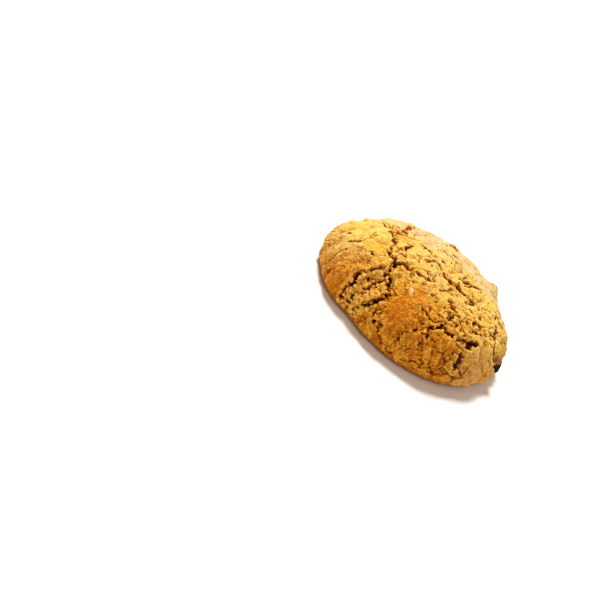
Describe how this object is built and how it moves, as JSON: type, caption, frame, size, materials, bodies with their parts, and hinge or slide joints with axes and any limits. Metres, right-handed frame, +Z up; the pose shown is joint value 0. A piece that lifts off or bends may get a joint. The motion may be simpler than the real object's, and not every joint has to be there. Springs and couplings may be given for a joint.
{
  "type": "oatmeal cookie",
  "caption": "Thick round oatmeal cookie with a domed golden crust split by cracks, coarse crumb showing in the splits, dark raisins baked in and a flat underside.",
  "frame": {"origin": "on the surface the cookie rests on, under the middle of its bounding box", "axes": "+Z up through the dome; +X along the cookie's longest width; -Y towards the side the picture shows"},
  "size_m": [0.0759, 0.0711, 0.0245],
  "materials": {
    "crust": "rough baked crust, golden to orange brown, with a dull sheen on the glazed patches",
    "raisin": "wrinkled dark brown skin with a soft shine"
  },
  "bodies": {
    "root": {"cookie": "crust", "raisin_edge": "raisin", "raisin_hollow": "raisin", "raisin_pit": "raisin", "raisin_left": "raisin", "raisin_back": "raisin", "raisin_back_left": "raisin"}
  },
  "joints": []
}
